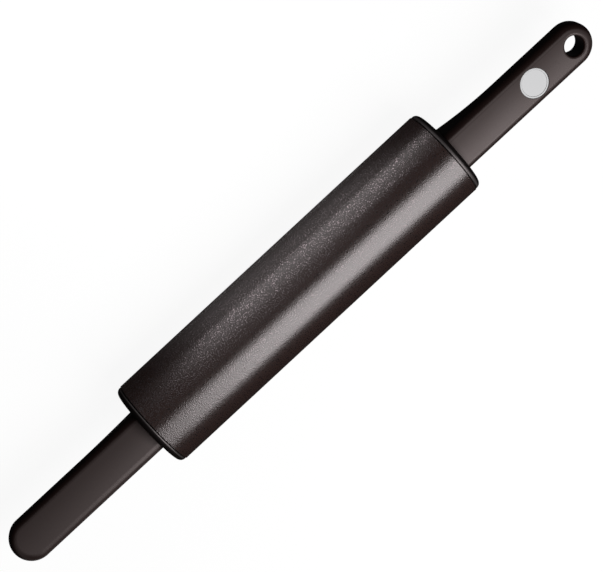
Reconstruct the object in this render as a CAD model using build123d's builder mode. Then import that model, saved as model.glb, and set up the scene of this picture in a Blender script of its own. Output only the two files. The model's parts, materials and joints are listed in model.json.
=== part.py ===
from build123d import *
from math import cos, radians, sin
import os

os.makedirs("parts", exist_ok=True)

# A rolling pin with a coated aluminium roller and two handles that turn by themselves.
# The roller's axis is X and its middle is the origin. Lengths are in millimetres.
# The blade of the right handle, the one with the hanging hole, lies level, face up.

# Roller tube
roller_radius = 30.0
roller_length = 244.0
tube_wall = 2.0
tube_edge_break = 0.3

# Fits
seat_gap = 0.05            # round a piece pressed into its seat
running_gap = 0.06         # round the journal, in its bush
end_play = 0.3             # along the axis, at each end of the bush

# End caps, moulded plugs pressed into the tube
cap_flange_length = 4.2    # what stands out of the tube
cap_step = 0.4             # flange below the tube's surface
cap_edge_radius = 3.3
cap_groove_width = 0.5     # shadow line between tube and flange
cap_groove_depth = 0.9
cap_face_wall = 3.0
cap_skirt_length = 22.0
cap_skirt_wall = 2.0
cap_hub_length = 25.0      # from the tube's end inwards
cap_hub_wall = 2.4
cap_lead_in = 1.0
cap_rib_count = 8
cap_rib_thickness = 1.6
cap_rib_length = 14.0

# Bearing bushes
bush_wall = 1.6
bush_collar_width = 3.0    # collar beyond the bush's wall
bush_collar_length = 1.6
bush_stand_out = 0.4       # collar and inner end beyond the cap

# Handles
handle_length = 111.0      # from the root's face to the tip
blade_width = 28.4
blade_thickness = 15.2
blade_height = 7.8         # the blade's middle over the roller's axis
blade_edge_radius = 5.6
blade_crown = 0.9          # the front face is higher in its middle
flare_length = 45.0        # the back swells towards the root
flare_depth = 7.8
root_edge_break = 0.6
journal_radius = 6.5
journal_edge_break = 0.6
left_handle_rest_turn = -17.0

# Hanging hole and the plain disc, right handle only
hole_radius = 6.5
hole_rim_radius = 1.5
hole_from_tip = 13.7
disc_from_hole = 33.5
disc_radius = 9.6
disc_thickness = 1.2
disc_rim_width = 1.1
disc_dish_depth = 0.25
disc_edge_break = 0.25
disc_inset = 0.5           # rim below the face's highest line
disc_gap = 0.15            # round the disc, in its seat

# Retaining washers and screws
washer_radius = 11.0
washer_thickness = 1.5
screw_radius = 2.4
screw_length = 20.0
screw_tip_length = 2.0
screw_head_radius = 4.6
screw_dome_radius = 3.2    # flat top of the head
screw_head_length = 3.0
screw_recess_radius = 1.6
screw_recess_sides = 6
screw_recess_depth = 1.8
pilot_spare_depth = 2.0
cut_overrun = 1.0

# Places along the axis, counted outwards from the roller's middle
tube_end = roller_length / 2
cap_face = tube_end + cap_flange_length
collar_face = cap_face + bush_stand_out
root_face = collar_face + end_play
handle_tip = root_face + handle_length
hub_end = tube_end - cap_hub_length
bush_end = hub_end - bush_stand_out
journal_end = bush_end - end_play
head_seat = journal_end - washer_thickness
end_centre = handle_tip - blade_width / 2
hole_place = handle_tip - hole_from_tip
disc_place = hole_place - disc_from_hole
skirt_end = tube_end - cap_skirt_length
cap_back = cap_face - cap_face_wall
collar_seat = collar_face - bush_collar_length
pilot_depth = screw_length - washer_thickness + pilot_spare_depth

# Radii
tube_bore_radius = roller_radius - tube_wall
skirt_radius = tube_bore_radius - seat_gap
flange_radius = roller_radius - cap_step
bush_bore_radius = journal_radius + running_gap
bush_radius = bush_bore_radius + bush_wall
hub_bore_radius = bush_radius + seat_gap
hub_radius = hub_bore_radius + cap_hub_wall
collar_radius = bush_radius + bush_collar_width
groove_radius = flange_radius - cap_groove_depth
rib_inner = hub_radius - cap_hub_wall / 2
rib_outer = skirt_radius - cap_skirt_wall / 2

# Heights in a handle's own frame, from the roller's axis
front_height = blade_height + blade_thickness / 2
back_height = blade_height - blade_thickness / 2
root_depth = flare_depth - back_height
disc_top = front_height - disc_inset
disc_floor = disc_top - disc_thickness

# The swelling's arc leaves the straight back without a kink
flare_radius = (flare_length**2 + flare_depth**2) / (2 * flare_depth)


def axial_plane(outward, up):
    """Plane through the axis: its x runs outwards along the roller, its y along up."""
    return Plane(origin=(0, 0, 0), x_dir=outward, z_dir=outward.cross(up))


def cross_plane(outward, up, place):
    """Plane square to the axis at a place along it, facing outwards, with y along up."""
    return Plane(origin=outward * place, x_dir=up.cross(outward), z_dir=outward)


def blade_plane(outward, up, height):
    """Plane level with a handle's blade at a height over the axis, with x outwards."""
    return Plane(origin=up * height, x_dir=outward, z_dir=up)


def save(piece, name):
    """Label a finished piece and write it under its name."""
    piece.part.label = name
    export_step(piece.part, f"parts/{name}.step")


with BuildPart() as barrel_tube:
    with BuildSketch(Plane.YZ):
        Circle(roller_radius)
        Circle(tube_bore_radius, mode=Mode.SUBTRACT)
    extrude(amount=tube_end, both=True)
    rims = barrel_tube.faces().filter_by(Axis.X).edges()
    chamfer(rims, length=tube_edge_break)
save(barrel_tube, "barrel_tube")

level = Vector(0, 0, 1)
turn = radians(left_handle_rest_turn)
turned = Vector(0, -sin(turn), cos(turn))

for side, outward, up in (
    ("left", Vector(-1, 0, 0), turned),
    ("right", Vector(1, 0, 0), level),
):
    along = Axis((0, 0, 0), outward)
    across = Axis((0, 0, 0), up)

    with BuildPart() as end_cap:
        with BuildSketch(axial_plane(outward, level)) as cap_section:
            with BuildLine():
                Polyline(
                    (cap_face, hub_bore_radius),
                    (cap_face, flange_radius),
                    (tube_end + cap_groove_width, flange_radius),
                    (tube_end + cap_groove_width, groove_radius),
                    (tube_end, groove_radius),
                    (tube_end, skirt_radius),
                    (skirt_end, skirt_radius),
                    (skirt_end, skirt_radius - cap_skirt_wall),
                    (cap_back, skirt_radius - cap_skirt_wall),
                    (cap_back, hub_radius),
                    (hub_end, hub_radius),
                    (hub_end, hub_bore_radius),
                    close=True,
                )
            make_face()
            flange_corner = cap_section.vertices().sort_by_distance((cap_face, flange_radius))[0]
            fillet(flange_corner, radius=cap_edge_radius)
            skirt_corner = cap_section.vertices().sort_by_distance((skirt_end, skirt_radius))[0]
            chamfer(skirt_corner, length=cap_lead_in)
        revolve(axis=Axis.X)
        # radial ribs tie the hub to the skirt behind the end wall
        with BuildSketch(cross_plane(outward, level, cap_back)):
            with PolarLocations((rib_inner + rib_outer) / 2, cap_rib_count):
                Rectangle(rib_outer - rib_inner, cap_rib_thickness)
        extrude(amount=-cap_rib_length)
        # seat of the bush's collar
        with BuildSketch(cross_plane(outward, level, cap_face)):
            Circle(collar_radius + seat_gap)
        extrude(amount=collar_seat - cap_face, mode=Mode.SUBTRACT)
    save(end_cap, f"{side}_end_cap")

    with BuildPart() as bearing_bush:
        with BuildSketch(axial_plane(outward, level)):
            with BuildLine():
                Polyline(
                    (collar_face, bush_bore_radius),
                    (collar_face, collar_radius),
                    (collar_seat, collar_radius),
                    (collar_seat, bush_radius),
                    (bush_end, bush_radius),
                    (bush_end, bush_bore_radius),
                    close=True,
                )
            make_face()
        revolve(axis=Axis.X)
    save(bearing_bush, f"{side}_bearing_bush")

    with BuildPart() as handle:
        # bar with a crowned front face
        with BuildSketch(cross_plane(outward, up, root_face)):
            with BuildLine():
                Polyline(
                    (-blade_width / 2, front_height - blade_crown),
                    (-blade_width / 2, -root_depth),
                    (blade_width / 2, -root_depth),
                    (blade_width / 2, front_height - blade_crown),
                )
                ThreePointArc(
                    (-blade_width / 2, front_height - blade_crown),
                    (0, front_height),
                    (blade_width / 2, front_height - blade_crown),
                )
            make_face()
        extrude(amount=handle_length)
        # side outline: the back runs straight, then swells in one arc down to the root
        with BuildSketch(axial_plane(outward, up)):
            with BuildLine():
                back = Line((handle_tip, back_height), (root_face + flare_length, back_height))
                flare = RadiusArc(back @ 1, (root_face, -root_depth), -flare_radius)
                Polyline(
                    flare @ 1,
                    (root_face, front_height),
                    (handle_tip, front_height),
                    back @ 0,
                )
            make_face()
        extrude(amount=blade_width, both=True, mode=Mode.INTERSECT)
        # plan outline: straight sides and a round end
        with BuildSketch(blade_plane(outward, up, -root_depth)):
            with BuildLine():
                Polyline(
                    (end_centre, -blade_width / 2),
                    (root_face, -blade_width / 2),
                    (root_face, blade_width / 2),
                    (end_centre, blade_width / 2),
                )
                ThreePointArc(
                    (end_centre, -blade_width / 2),
                    (handle_tip, 0),
                    (end_centre, blade_width / 2),
                )
            make_face()
        extrude(amount=root_depth + front_height, mode=Mode.INTERSECT)
        # soft edges all round, but for the root's face
        front_face = handle.faces().sort_by(across)[-1]
        back_face = handle.faces().filter_by(across)[0]
        flare_face = handle.faces().filter_by(GeomType.CYLINDER).sort_by(across)[0]
        fillet(
            front_face.edges().sort_by(along)[1:]
            + back_face.edges().sort_by(along)[1:]
            + flare_face.edges().sort_by(along)[1:-1],
            radius=blade_edge_radius,
        )
        chamfer(handle.faces().sort_by(along)[0].edges(), length=root_edge_break)
        # journal, which turns in the bush, with the screw's pilot hole
        with BuildSketch(cross_plane(outward, up, root_face)):
            Circle(journal_radius)
        extrude(amount=journal_end - root_face)
        chamfer(handle.faces().sort_by(along)[0].edges(), length=journal_edge_break)
        with Locations(Plane(origin=outward * journal_end, z_dir=-outward)):
            Hole(screw_radius + seat_gap, depth=pilot_depth)
        if side == "right":
            # hanging hole with rounded rims
            with Locations(blade_plane(outward, up, front_height)):
                with Locations((hole_place, 0)):
                    Hole(hole_radius)
            bore = handle.faces().filter_by(GeomType.CYLINDER).sort_by_distance(
                outward * hole_place + up * blade_height
            )[0]
            fillet(bore.edges().filter_by(GeomType.LINE, reverse=True), radius=hole_rim_radius)
            # seat of the disc
            with BuildSketch(blade_plane(outward, up, disc_floor)):
                with Locations((disc_place, 0)):
                    Circle(disc_radius + disc_gap)
            extrude(amount=disc_thickness + cut_overrun, mode=Mode.SUBTRACT)
    save(handle, f"{side}_handle")

    with BuildPart() as retaining_washer:
        with BuildSketch(cross_plane(outward, up, head_seat)):
            Circle(washer_radius)
            Circle(screw_radius + seat_gap, mode=Mode.SUBTRACT)
        extrude(amount=washer_thickness)
    save(retaining_washer, f"{side}_retaining_washer")

    with BuildPart() as retaining_screw:
        with BuildSketch(axial_plane(outward, up)):
            with BuildLine():
                Polyline(
                    (head_seat - screw_head_length, 0),
                    (head_seat - screw_head_length, screw_dome_radius),
                    (head_seat - screw_head_length / 2, screw_head_radius),
                    (head_seat, screw_head_radius),
                    (head_seat, screw_radius),
                    (head_seat + screw_length - screw_tip_length, screw_radius),
                    (head_seat + screw_length, 0),
                    close=True,
                )
            make_face()
        revolve(axis=Axis.X)
        with BuildSketch(cross_plane(outward, up, head_seat - screw_head_length)):
            RegularPolygon(screw_recess_radius, screw_recess_sides)
        extrude(amount=screw_recess_depth, mode=Mode.SUBTRACT)
    save(retaining_screw, f"{side}_retaining_screw")

# A plain disc with a raised rim, set in the right handle's face
with BuildPart() as plain_disc:
    with BuildSketch(Plane.XZ):
        with BuildLine():
            Polyline(
                (disc_place, disc_floor),
                (disc_place + disc_radius, disc_floor),
                (disc_place + disc_radius, disc_top - disc_edge_break),
                (disc_place + disc_radius - disc_edge_break, disc_top),
                (disc_place + disc_radius - disc_rim_width, disc_top),
                (disc_place + disc_radius - disc_rim_width - disc_dish_depth, disc_top - disc_dish_depth),
                (disc_place, disc_top - disc_dish_depth),
                close=True,
            )
        make_face()
    revolve(axis=Axis((disc_place, 0, 0), (0, 0, 1)))
save(plain_disc, "plain_disc")
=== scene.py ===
"""Looks of the rolling pin: materials, floor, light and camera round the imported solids."""
import json
from math import cos, pi, radians, sin

import bpy
from mathutils import Matrix, Vector


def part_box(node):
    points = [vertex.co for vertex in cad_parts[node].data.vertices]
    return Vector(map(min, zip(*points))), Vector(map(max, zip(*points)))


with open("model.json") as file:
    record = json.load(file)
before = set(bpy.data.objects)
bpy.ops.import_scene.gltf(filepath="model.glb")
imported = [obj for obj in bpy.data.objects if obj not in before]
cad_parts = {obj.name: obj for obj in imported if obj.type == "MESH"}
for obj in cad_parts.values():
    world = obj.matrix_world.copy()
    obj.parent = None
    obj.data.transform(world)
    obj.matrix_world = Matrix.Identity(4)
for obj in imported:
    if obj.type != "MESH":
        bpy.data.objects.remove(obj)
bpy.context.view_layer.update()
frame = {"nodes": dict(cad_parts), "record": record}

# The photograph's frame and the camera that matches it
IMAGE_WIDTH = 603
FOCAL_LENGTH_PX = 1985.3
SENSOR_WIDTH = 36.0
CAMERA_PLACE = Vector((-0.0086, 0.5250, 1.1076))
CAMERA_AIM = Vector((0.0021, -0.0004, 0.0002))
CAMERA_ROLL = radians(42.826)
CLIP_START = 0.05
CLIP_END = 20.0

# Light: strengths are radiances, where 1 is a white surface's own brightness
KEY_STRENGTH = 7.8
KEY_PLACE = Vector((0.100, -0.350, 0.775))
KEY_AIM = Vector((0.100, 0.0, 0.0))
KEY_WIDTH = 0.82
KEY_LENGTH = 0.53
GRAIN_STRENGTH = 2.2
GRAIN_DISTANCE = 0.26
GRAIN_WIDTH = 0.10
# degrees above the axis, share of the strength, and where along the roller the panel starts and ends
GRAIN_PANELS = ((7, 1.0, -0.076, 0.146), (29, 0.65, -0.092, 0.122), (54, 0.20, -0.102, 0.060))
LIT_BY_GRAIN_PANELS = ("barrel_tube", "left_end_cap", "right_end_cap")
WORLD_STRENGTH = 0.01
# how much of the white doesn't depend on the light, for each kind of ray
FLOOR_WHITE_SHARES = {"Is Camera Ray": 0.92, "Is Glossy Ray": 0.01, "Is Transmission Ray": 0.01}
WORLD_WHITE_SHARES = {"Is Camera Ray": 1.0, "Is Glossy Ray": 0.01, "Is Transmission Ray": 0.01}

# Floor
FLOOR_HALF_WIDTH = 4.0
FLOOR_PALE = (0.90, 0.90, 0.90)     # as the camera sees it
FLOOR_GREY = (0.05, 0.05, 0.05)     # as it lights the object from behind
FLOOR_DARK = (0.004, 0.004, 0.004)  # as it lights the object from elsewhere
FLOOR_SHEEN = 0.42                  # the glossy share of the light from behind
FLOOR_SHEEN_ROUGHNESS = 0.25
# where the light from behind rises along the roller, where it falls, and where it starts from the front
FLOOR_RISE_ALONG = (-0.105, -0.050)
FLOOR_FALL_ALONG = (0.060, 0.120)
FLOOR_RISE_BACKWARDS = (-0.030, 0.010)

# Coating of the tube
COATING_GRAIN = 1600
COATING_BUMP = 0.00008
COATING_BODY = (0.018, 0.009, 0.0075)
COATING_ROUGHNESS = (0.275, 0.12)   # of the body and of the flakes
COATING_SPECULAR = 0.62
COATING_TINT = (1.0, 0.96, 0.97)
FLAKE_EDGE = (0.56, 0.72)           # noise where a flake starts and where it is whole
# flake colours: on top, and with a painted sheen on the side facing the low light behind
FLAKES_DULL = (0.064, 0.055, 0.057)
FLAKES_PAINTED_SHEEN = (0.200, 0.165, 0.173)
BACKWARDS = (0.0, 1.0, 0.0)
FLAKES_SHEEN_TURN = (0.36, 0.58)          # facing backwards, where the flakes turn from dull to a painted sheen towards the low light
# painted shadow beside the gap between the tube and the caps
GAP_SHADOW_COLOUR = (0.001, 0.001, 0.001)
GAP_SHADOW_RISE = (-0.0006, -0.0004)      # from the tube's end, where the painted shadow begins

# Plastics
PLASTIC_GRAIN = 2600
PLASTIC_BUMP = 0.000008
PLASTIC_TINT = (1.0, 0.88, 0.86)
BUSH_CLOUD = 55
BUSH_COLOURS = ((0.020, 0.020, 0.021), (0.030, 0.030, 0.031))
BUSH_ROUGHNESS = (0.39, 0.45)
BUSH_SPECULAR = 0.25
CAP_COLOURS = ((0.004, 0.003, 0.003), (0.125, 0.112, 0.112))  # of the body and of the painted highlight along the edge beside the tube
CAP_ROUGHNESS = (0.42, 0.55)
CAP_SPECULAR = 0.22
# where the painted highlight on the caps' edge rises and falls
CAP_HIGHLIGHT_RISE = (0.0003, 0.0005)    # from the tube's end, like both falls
LEFT_CAP_HIGHLIGHT_FALL = (0.0008, 0.0012)
RIGHT_CAP_HIGHLIGHT_FALL = (0.0005, 0.0022)
HANDLE_GRAIN = 2200
HANDLE_BUMP = 0.000012
HANDLE_CLOUD = 45
HANDLE_COLOURS = ((0.009, 0.004, 0.0035), (0.013, 0.006, 0.005))
HANDLE_SPECULAR = 0.62
HANDLE_TINT = (1.0, 0.87, 0.86)
LEFT_HANDLE_TURN = radians(17.0)
GLOSS_TILT = radians(25.0)
# roughness, and the facing over which it changes
HANDLE_DULL = {"low": 0.30, "high": 0.78, "start": 0.60, "end": 0.85}
HANDLE_SATIN = {"low": 0.00, "high": -0.38, "start": 0.85, "end": 0.96}
HANDLE_UNEVEN = 0.06

# Metals
STEEL_STRETCH = (40, 2400, 2400)
STEEL_BUMP = 0.000004
STEEL_COLOURS = ((0.50, 0.50, 0.50), (0.64, 0.64, 0.64))
STEEL_ROUGHNESS = (0.25, 0.38)
DISC_RINGS = 9000.0
DISC_BUMP = 0.000006
DISC_COLOURS = ((0.48, 0.48, 0.49), (0.60, 0.60, 0.60))
DISC_ROUGHNESS = (0.70, 0.80)

roller_low, roller_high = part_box("barrel_tube")
disc_low, disc_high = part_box("plain_disc")
DISC_CENTRE = (disc_low + disc_high) / 2
FLOOR_HEIGHT = roller_low.z
TUBE_END = roller_high.x


def new_material(name):
    """An empty node material with its Principled shader."""
    material = bpy.data.materials.new(name)
    material.use_nodes = True
    return material, material.node_tree, material.node_tree.nodes["Principled BSDF"]


def add(tree, kind, **values):
    """A node of a kind, with attributes by name and inputs by their socket's name."""
    node = tree.nodes.new(kind)
    for key, value in values.items():
        if key in node.inputs:
            node.inputs[key].default_value = value
        else:
            setattr(node, key, value)
    return node


def feed(tree, term, socket):
    """Links an output to an input, or sets a number, a direction or a colour on it."""
    if isinstance(term, bpy.types.NodeSocket):
        tree.links.new(term, socket)
    elif socket.type == "RGBA":
        socket.default_value = (*term, 1)
    else:
        socket.default_value = term


def set_shader(tree, shader, terms):
    """Feeds a shader's inputs by their names."""
    for name, term in terms.items():
        feed(tree, term, shader.inputs[name])


def object_place(tree):
    """Places on the object in its own frame, in metres."""
    return add(tree, "ShaderNodeTexCoord").outputs["Object"]


def axes(tree, place):
    """A place's X, Y and Z by name."""
    parts = add(tree, "ShaderNodeSeparateXYZ")
    tree.links.new(place, parts.inputs["Vector"])
    return parts.outputs


def maths(tree, operation, *terms):
    """The value of a Math node, whose terms are outputs or numbers."""
    node = add(tree, "ShaderNodeMath", operation=operation)
    for term, socket in zip(terms, node.inputs):
        feed(tree, term, socket)
    return node.outputs["Value"]


def vector_maths(tree, operation, place, other=None):
    """The outputs of a Vector Math node."""
    node = add(tree, "ShaderNodeVectorMath", operation=operation)
    tree.links.new(place, node.inputs[0])
    if other is not None:
        node.inputs[1].default_value = other
    return node.outputs


def outward(tree, place):
    """The distance along the roller from its middle."""
    return maths(tree, "ABSOLUTE", axes(tree, place)["X"])


def facing(tree, direction):
    """How far the surface faces a direction on the object, from -1 to 1."""
    normal = add(tree, "ShaderNodeTexCoord").outputs["Normal"]
    return vector_maths(tree, "DOT_PRODUCT", normal, direction)["Value"]


def noise(tree, place, scale, detail=2.0):
    """Soft noise with so many cells to the metre."""
    node = add(tree, "ShaderNodeTexNoise", Scale=scale, Detail=detail, Roughness=0.5)
    tree.links.new(place, node.inputs["Vector"])
    return node.outputs["Fac"]


def spread(tree, value, low, high, start=0.0, end=1.0):
    """Maps a value from start..end to low..high, held at the ends."""
    node = add(tree, "ShaderNodeMapRange")
    for socket, number in zip(node.inputs[1:5], (start, end, low, high)):
        socket.default_value = number
    tree.links.new(value, node.inputs["Value"])
    return node.outputs["Result"]


def from_tube_end(tree, distance, low, high, change):
    """Maps a distance along the roller to low..high, over a change that starts and ends near the tube's end."""
    start, end = change
    return spread(tree, distance, low, high, TUBE_END + start, TUBE_END + end)


def colours(tree, value, low, high):
    """Blends two colours, or outputs that give them, by a value."""
    node = add(tree, "ShaderNodeMix", data_type="RGBA")
    for name, term in (("Factor", value), ("A", low), ("B", high)):
        feed(tree, term, node.inputs[name])
    return node.outputs["Result"]


def mix_shaders(tree, value, low, high):
    """Blends two shaders by a value."""
    node = add(tree, "ShaderNodeMixShader")
    for term, socket in zip((value, low, high), node.inputs):
        tree.links.new(term, socket)
    return node.outputs["Shader"]


def bump(tree, height, distance):
    """A normal from a height."""
    node = add(tree, "ShaderNodeBump", Strength=1.0, Distance=distance)
    tree.links.new(height, node.inputs["Height"])
    return node.outputs["Normal"]


def coating():
    """Dark brown-black non-stick coating with a fine sparkling grain and a painted sheen on the side towards
    the low light, which ends in a painted shadow line at the caps.
    """
    material, tree, shader = new_material("nonstick_coating_look")
    place = object_place(tree)
    grain = noise(tree, place, COATING_GRAIN, detail=0.0)
    flakes = spread(tree, grain, 0, 1, *FLAKE_EDGE)
    # painted sheen: the flakes get a brighter metal colour on the side facing the low light behind than on top
    painted_sheen_side = spread(tree, facing(tree, BACKWARDS), 0, 1, *FLAKES_SHEEN_TURN)
    metal = colours(tree, painted_sheen_side, FLAKES_DULL, FLAKES_PAINTED_SHEEN)
    base = colours(tree, flakes, COATING_BODY, metal)
    # painted shadow: a black band that reflects nothing at the tube's end, beside the gap to the cap
    gap_shadow = from_tube_end(tree, outward(tree, place), 0, 1, GAP_SHADOW_RISE)
    set_shader(tree, shader, {
        "Base Color": colours(tree, gap_shadow, base, GAP_SHADOW_COLOUR),
        "Metallic": maths(tree, "MAXIMUM", flakes, gap_shadow),
        "Roughness": spread(tree, flakes, *COATING_ROUGHNESS),
        "Normal": bump(tree, grain, COATING_BUMP),
        "Specular IOR Level": COATING_SPECULAR,
        "Specular Tint": COATING_TINT,
    })
    return material


def bush_plastic():
    """Satin moulded plastic with a faint texture and uneven gloss."""
    material, tree, shader = new_material("bush_plastic_look")
    place = object_place(tree)
    cloud = noise(tree, place, BUSH_CLOUD, detail=4.0)
    set_shader(tree, shader, {
        "Base Color": colours(tree, cloud, *BUSH_COLOURS),
        "Roughness": spread(tree, cloud, *BUSH_ROUGHNESS),
        "Normal": bump(tree, noise(tree, place, PLASTIC_GRAIN), PLASTIC_BUMP),
        "Specular IOR Level": BUSH_SPECULAR,
        "Specular Tint": PLASTIC_TINT,
    })
    return material


def cap_plastic(name, highlight_fall):
    """Black moulded plastic of a cap, with a painted highlight along the edge beside the tube that fades over a
    change of its own.
    """
    material, tree, shader = new_material(name)
    place = object_place(tree)
    distance = outward(tree, place)
    rise = from_tube_end(tree, distance, 0, 1, CAP_HIGHLIGHT_RISE)
    fall = from_tube_end(tree, distance, 1, 0, highlight_fall)
    # painted highlight: a lighter, metallic band along the cap's edge beside the tube
    painted_highlight = maths(tree, "MULTIPLY", rise, fall)
    set_shader(tree, shader, {
        "Base Color": colours(tree, painted_highlight, *CAP_COLOURS),
        "Metallic": painted_highlight,
        "Roughness": spread(tree, painted_highlight, *CAP_ROUGHNESS),
        "Normal": bump(tree, noise(tree, place, PLASTIC_GRAIN), PLASTIC_BUMP),
        "Specular IOR Level": CAP_SPECULAR,
        "Specular Tint": PLASTIC_TINT,
    })
    return material


def handle_plastic(name, turn):
    """Moulded plastic of a handle turned by an angle: satin, dullest where its front rolls over upwards."""
    material, tree, shader = new_material(name)
    place = object_place(tree)
    cloud = noise(tree, place, HANDLE_CLOUD, detail=4.0)
    gloss_angle = turn - GLOSS_TILT
    face = facing(tree, (0.0, sin(gloss_angle), cos(gloss_angle)))
    gloss = maths(tree, "ADD", spread(tree, face, **HANDLE_DULL), spread(tree, face, **HANDLE_SATIN))
    set_shader(tree, shader, {
        "Base Color": colours(tree, cloud, *HANDLE_COLOURS),
        "Roughness": maths(tree, "MULTIPLY_ADD", cloud, HANDLE_UNEVEN, gloss),
        "Normal": bump(tree, noise(tree, place, HANDLE_GRAIN), HANDLE_BUMP),
        "Specular IOR Level": HANDLE_SPECULAR,
        "Specular Tint": HANDLE_TINT,
    })
    return material


def fastener_steel():
    """Bright metal with fine brush marks."""
    material, tree, shader = new_material("fastener_steel_look")
    streak = add(tree, "ShaderNodeMapping", Scale=STEEL_STRETCH)
    tree.links.new(object_place(tree), streak.inputs["Vector"])
    marks = noise(tree, streak.outputs["Vector"], 1.0)
    set_shader(tree, shader, {
        "Base Color": colours(tree, marks, *STEEL_COLOURS),
        "Roughness": spread(tree, marks, *STEEL_ROUGHNESS),
        "Normal": bump(tree, marks, STEEL_BUMP),
        "Metallic": 1.0,
    })
    return material


def disc_metal():
    """Satin silver disc with fine turned rings round its centre."""
    material, tree, shader = new_material("disc_metal_look")
    from_centre = vector_maths(tree, "SUBTRACT", object_place(tree), DISC_CENTRE)["Vector"]
    radius = vector_maths(tree, "LENGTH", from_centre)["Value"]
    rings = add(tree, "ShaderNodeTexNoise", noise_dimensions="1D", Scale=DISC_RINGS, Detail=2.0)
    tree.links.new(radius, rings.inputs["W"])
    marks = rings.outputs["Fac"]
    set_shader(tree, shader, {
        "Base Color": colours(tree, marks, *DISC_COLOURS),
        "Roughness": spread(tree, marks, *DISC_ROUGHNESS),
        "Normal": bump(tree, marks, DISC_BUMP),
        "Metallic": 1.0,
    })
    return material


def white_share(tree, shares):
    """The share of plain white that a ray sees, by the ray's kind."""
    rays = add(tree, "ShaderNodeLightPath")
    share, *others = [maths(tree, "MULTIPLY", rays.outputs[kind], part) for kind, part in shares.items()]
    for other in others:
        share = maths(tree, "MAXIMUM", share, other)
    return share


def light_from_behind(tree):
    """How much light the floor gives back: all behind the roller, and less and less towards both its ends."""
    place = axes(tree, object_place(tree))
    rise = spread(tree, place["X"], 0, 1, *FLOOR_RISE_ALONG)
    fall = spread(tree, place["X"], 1, 0, *FLOOR_FALL_ALONG)
    behind = spread(tree, place["Y"], 0, 1, *FLOOR_RISE_BACKWARDS)
    return maths(tree, "MULTIPLY", maths(tree, "MULTIPLY", rise, fall), behind)


def floor_white():
    """A pale floor that keeps the shadow and looks white to the camera, but gives little light back."""
    material, tree, shader = new_material("floor_white")
    tree.nodes.remove(shader)
    seen = add(tree, "ShaderNodeLightPath").outputs["Is Camera Ray"]
    given_back = light_from_behind(tree)
    lit = add(tree, "ShaderNodeBsdfDiffuse")
    lighting = colours(tree, given_back, FLOOR_DARK, FLOOR_GREY)
    tree.links.new(colours(tree, seen, lighting, FLOOR_PALE), lit.inputs["Color"])
    sheen = add(tree, "ShaderNodeBsdfGlossy", Roughness=FLOOR_SHEEN_ROUGHNESS)
    gloss = maths(tree, "MULTIPLY", spread(tree, seen, FLOOR_SHEEN, 0.0), given_back)
    table = mix_shaders(tree, gloss, lit.outputs["BSDF"], sheen.outputs["BSDF"])
    white = add(tree, "ShaderNodeEmission", Strength=1.0)
    mix = mix_shaders(tree, white_share(tree, FLOOR_WHITE_SHARES), table, white.outputs["Emission"])
    tree.links.new(mix, tree.nodes["Material Output"].inputs["Surface"])
    return material


def dress():
    """Gives every solid a look of its own, or else the look of its material slot."""
    slot_looks = {
        "nonstick_coating": coating(),
        "bush_plastic": bush_plastic(),
        "fastener_steel": fastener_steel(),
        "disc_metal": disc_metal(),
    }
    # the caps' painted edge highlights differ, and the left handle is turned at rest, so its face looks another
    # way
    own_looks = {
        "left_end_cap": cap_plastic("left_cap_plastic_look", LEFT_CAP_HIGHLIGHT_FALL),
        "right_end_cap": cap_plastic("right_cap_plastic_look", RIGHT_CAP_HIGHLIGHT_FALL),
        "left_handle": handle_plastic("left_handle_plastic_look", LEFT_HANDLE_TURN),
        "right_handle": handle_plastic("right_handle_plastic_look", 0.0),
    }
    for part in frame["record"]["subparts"]:
        node = frame["nodes"][part["node"]]
        for place in node.material_slots:
            place.material = own_looks.get(part["node"]) or slot_looks[part["material_slot"]]


def floor():
    """A wide pale floor under the roller."""
    mesh = bpy.data.meshes.new("floor")
    corners = [(x * FLOOR_HALF_WIDTH, y * FLOOR_HALF_WIDTH, FLOOR_HEIGHT)
               for x, y in ((-1, -1), (1, -1), (1, 1), (-1, 1))]
    mesh.from_pydata(corners, [], [(0, 1, 2, 3)])
    mesh.materials.append(floor_white())
    ground = bpy.data.objects.new("floor", mesh)
    bpy.context.scene.collection.objects.link(ground)
    return ground


def aimed(place, aim, roll=0.0):
    """The matrix of a lamp or camera that faces a point, level with the roller and then rolled."""
    back = (place - aim).normalized()
    level = (Vector((1, 0, 0)) - back * back.x).normalized()
    side = Matrix.Rotation(-roll, 3, back) @ level
    return Matrix.Translation(place) @ Matrix((side, back.cross(side), back)).transposed().to_4x4()


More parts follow.
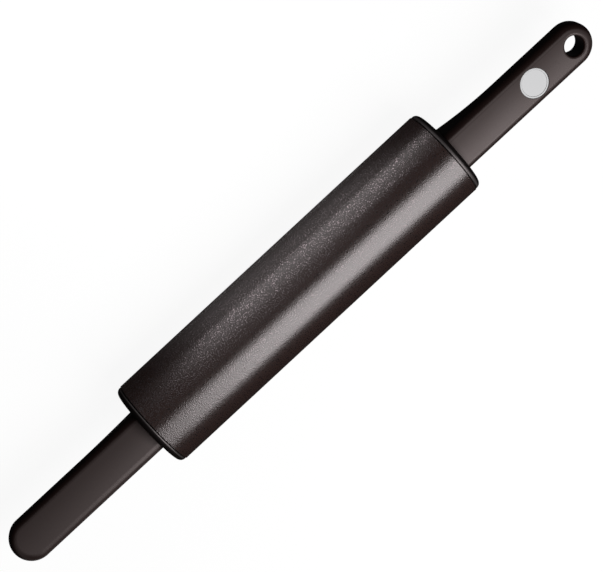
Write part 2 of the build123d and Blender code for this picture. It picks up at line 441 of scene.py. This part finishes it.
def softbox(name, place, aim, width, length, radiance):
    """A rectangular lamp that faces a point, with its length along the roller."""
    lamp = bpy.data.lights.new(name, "AREA")
    lamp.shape = "RECTANGLE"
    lamp.size = length
    lamp.size_y = width
    # an area lamp's power over its area is pi times its radiance
    lamp.energy = radiance * width * length * pi
    box = bpy.data.objects.new(name, lamp)
    box.visible_camera = False
    box.matrix_world = aimed(place, aim)
    bpy.context.scene.collection.objects.link(box)
    return box


def light(ground):
    """A large soft key over the front, low panels behind for the roller, and a nearly dark surround."""
    softbox("key_light", KEY_PLACE, KEY_AIM, KEY_WIDTH, KEY_LENGTH, KEY_STRENGTH)
    lit_low = bpy.data.collections.new("grain_light_receivers")
    for node in LIT_BY_GRAIN_PANELS:
        lit_low.objects.link(frame["nodes"][node])
    lit_low.objects.link(ground)
    for angle, share, start, end in GRAIN_PANELS:
        middle = Vector(((start + end) / 2, 0.0, 0.0))
        place = middle + Vector((0.0, cos(radians(angle)), sin(radians(angle)))) * GRAIN_DISTANCE
        panel = softbox(f"grain_light_{angle}", place, middle, GRAIN_WIDTH, end - start,
                        GRAIN_STRENGTH * share)
        panel.light_linking.receiver_collection = lit_low
    world = bpy.data.worlds.new("surround")
    world.use_nodes = True
    tree = world.node_tree
    background = tree.nodes["Background"]
    background.inputs["Color"].default_value = (1, 1, 1, 1)
    strength = spread(tree, white_share(tree, WORLD_WHITE_SHARES), WORLD_STRENGTH, 1.0)
    tree.links.new(strength, background.inputs["Strength"])
    bpy.context.scene.world = world


def camera():
    """The photograph's viewpoint, with the roller's axis running up to the right."""
    data = bpy.data.cameras.new("camera")
    data.sensor_width = SENSOR_WIDTH
    data.lens = FOCAL_LENGTH_PX / IMAGE_WIDTH * SENSOR_WIDTH
    data.clip_start = CLIP_START
    data.clip_end = CLIP_END
    eye = bpy.data.objects.new("camera", data)
    eye.matrix_world = aimed(CAMERA_PLACE, CAMERA_AIM, CAMERA_ROLL)
    bpy.context.scene.collection.objects.link(eye)
    bpy.context.scene.camera = eye


dress()
light(floor())
camera()
bpy.context.scene.view_settings.view_transform = "Standard"
